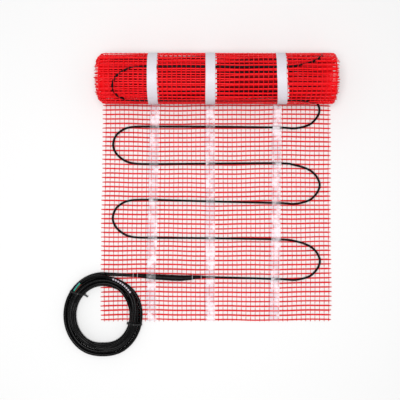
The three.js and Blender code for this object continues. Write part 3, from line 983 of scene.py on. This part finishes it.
def strips():
    """On each line: film on the flat mat, film round the roll, and liner under both."""
    flat = (-FLAT_LENGTH, 0)
    round_roll = (0, wound_in(FILM_TURNS))
    for strip in STRIP_CENTRES:
        piece = strip_sheet(
            f"film_strip_{strip}", strip, 0, flat,
            over_all, FILM_THICK, FILM_RAGGED, film, "tape",
        )
        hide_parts(f"fixing_tape_{strip}")
        piece.visible_shadow = False
        strip_sheet(
            f"wound_film_{strip}", strip, WOUND_FILM_ASIDE, round_roll,
            over_all, FILM_THICK, FILM_RAGGED, wound_film, "tape",
        )
        piece = strip_sheet(
            f"liner_strip_{strip}", strip, LINER_SHIFT, (-FLAT_LENGTH, OUTERMOST_TO),
            under_net, LINER_THICK, LINER_RAGGED, liner, "liner",
        )
        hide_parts(f"liner_{strip}", f"liner_band_{strip}")


strips()

# The lead's end: three cores side by side, up to the tie.
CORE_DIAMETER = 2.6
CORES_STOP = 142
CORE_START_INSIDE = 0.6
CORE_PLACES = {"live": (-2.5, -1), "earth": (0.2, 1), "neutral": (1.9, -1.1)}
CORES_SWING_IN = 1.6
CORES_DROP = 1.5


def lead_cores():
    """The cores leave the sheath in a bundle, and swing in under the tie."""
    pieces = []
    angles = np.linspace(LEAD_STOP - CORE_START_INSIDE, CORES_STOP, 14)
    swing = smooth_step(LEAD_STOP, CORES_STOP, angles)
    for name, material in cores.items():
        across, up = CORE_PLACES[name]
        out = lead_outs[-1] + across - CORES_SWING_IN * swing
        path = on_coil(out, angles, lead_levels[-1] + up - CORES_DROP * swing)
        skin = Skin()
        skin.sweep(path, (0, 0, 1), round_section(CORE_DIAMETER, 12))
        piece = skin.piece(f"lead_core_{name}", material, f"core_{name}")
        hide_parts(f"core_{name}")
        pieces.append(piece)
    return pieces


# The cable ties: the angle of each on the coil, how far it slants, and how far its cut tail stands out.
TIES = [(-14, 7, 0.2), (141.6, 24.5, 7)]
TIE_REACH = 4
STRAP_LIE = 0.65
STRAP_STEP = 1.5
STRAP_SECTION = [(1.8, 0.5), (-1.8, 0.5), (-1.8, -0.5), (1.8, -0.5)]
HEAD_SECTION = [(2.6, 2.1), (-2.6, 2.1), (-2.6, -2.1), (2.6, -2.1)]
HEAD_LONG = 2.7
HEAD_UP = 1
HEAD_STATIONS = [(-0.2, 0.85), (0.4, 1), (HEAD_LONG - 0.6, 1), (HEAD_LONG, 0.85)]
TAIL_STARTS_INSIDE = 0.4


def pulled_tight(angle, skew):
    """The loop of a strap round the strands at an angle, as (out, height), starting on the inside."""
    away = np.abs((lead_degrees - angle + TURN / 2) % TURN - TURN / 2)
    bundled = away < TIE_REACH
    reach = LEAD_DIAMETER / 2 + STRAP_LIE
    corners = []
    for out, level in zip(lead_outs[bundled], lead_levels[bundled]):
        middle = out / math.cos(math.radians(skew))
        for a in np.linspace(0, FULL_CIRCLE, 24, endpoint=False):
            corners.append((middle + reach * math.cos(a), level + reach * math.sin(a)))
    hull = [corners[k] for k in convex_hull_2d(corners)]
    first = min(range(len(hull)), key=lambda k: hull[k][0])
    return np.array(hull[first:] + hull[: first + 1])


def coil_ties():
    """Each tie: a strap slanting round the strands, its head inside, and the cut tail."""
    pieces = []
    for n, (angle, skew, tail) in enumerate(TIES):
        loop = pulled_tight(angle, skew)
        radians = math.radians(angle)
        outward = math.atan2(math.sin(radians), COIL_OVAL * math.cos(radians))
        slanted = outward + math.radians(skew)
        centre = on_coil(0, angle, 0)
        strap_way = np.array([math.cos(slanted), math.sin(slanted), 0])
        inward = -np.array([math.cos(outward), math.sin(outward), 0])
        path = smooth_curve([centre + strap_way * out + [0, 0, z] for out, z in loop], STRAP_STEP)
        ups = path - centre - [0, 0, loop[:, 1].mean()]
        skin = Skin()
        skin.sweep(path, ups / np.linalg.norm(ups, axis=1)[:, None], STRAP_SECTION)
        at_head = centre + strap_way * loop[0, 0] + [0, 0, loop[0, 1] + HEAD_UP]
        head = [at_head + inward * place for place, _ in HEAD_STATIONS]
        skin.sweep(head, (0, 0, 1), HEAD_SECTION, [(size, size) for _, size in HEAD_STATIONS])
        stub = np.linspace(HEAD_LONG - TAIL_STARTS_INSIDE, HEAD_LONG + tail, 6)
        skin.sweep([at_head + inward * place for place in stub], (0, 0, 1), STRAP_SECTION)
        piece = skin.piece(f"cable_tie_{n + 1}", nylon, "tie", smooth=False)
        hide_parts(f"coil_tie_{n + 1}")
        pieces.append(piece)
    return pieces


# The printing on the lead: from and to which angle of the last turn, and how it lies on the sheath.
INK_FROM = 37
INK_TO = 74
INK_DASHES = 9
INK_SHARE = 0.68
INK_SPREAD = 30
INK_LIE = 0.06
INK_UNDERSIDE = 0.95


def ink_marks():
    """Plain dashes printed along the top strand of the lead."""
    skin = Skin()
    across = np.radians(np.linspace(90 - INK_SPREAD, 90 + INK_SPREAD, 9))
    printed = LEAD_DIAMETER / 2 + INK_LIE
    shell = [(printed * math.cos(a), printed * math.sin(a)) for a in across]
    shell += [(INK_UNDERSIDE * side, INK_UNDERSIDE * up) for side, up in shell[::-1]]
    dash_long = INK_SHARE * (INK_TO - INK_FROM) / INK_DASHES
    for dash in np.linspace(INK_FROM, INK_TO, INK_DASHES + 1)[:-1]:
        angles = LAST_TURN * TURN + np.linspace(dash, dash + dash_long, 5)
        out, level = [np.interp(angles, lead_degrees, along) for along in (lead_outs, lead_levels)]
        skin.sweep(on_coil(out, angles, level), (0, 0, 1), shell)
    return skin.piece("lead_ink", ink, "thread")


core_pieces = lead_cores()
tie_pieces = coil_ties()
ink_piece = ink_marks()

# The light, in metres and watts.
BOARD_SIZE = 6
BOARD_LEVEL = -0.0005
SKY_STRENGTH = 0.5
LAMP_SIZE = 0.9
LAMP_POWER = 32
LAMP_AT = (-0.15, -0.1, 2.2)


def studio():
    """White board, even sky light and one broad lamp overhead."""
    bpy.ops.mesh.primitive_plane_add(size=BOARD_SIZE, location=(0, 0, BOARD_LEVEL))
    board = bpy.context.object
    board.name = "floor"
    board.data.materials.append(floor_board())
    scene = bpy.context.scene
    scene.view_settings.view_transform = "Standard"
    world = bpy.data.worlds.new("sky")
    world.use_nodes = True
    sky = world.node_tree.nodes["Background"]
    sky.inputs["Color"].default_value = (1, 1, 1, 1)
    sky.inputs["Strength"].default_value = SKY_STRENGTH
    scene.world = world
    lamp = bpy.data.objects.new("lamp", bpy.data.lights.new("lamp", "AREA"))
    lamp.data.size = LAMP_SIZE
    lamp.data.energy = LAMP_POWER
    lamp.location = LAMP_AT
    bpy.context.collection.objects.link(lamp)


studio()
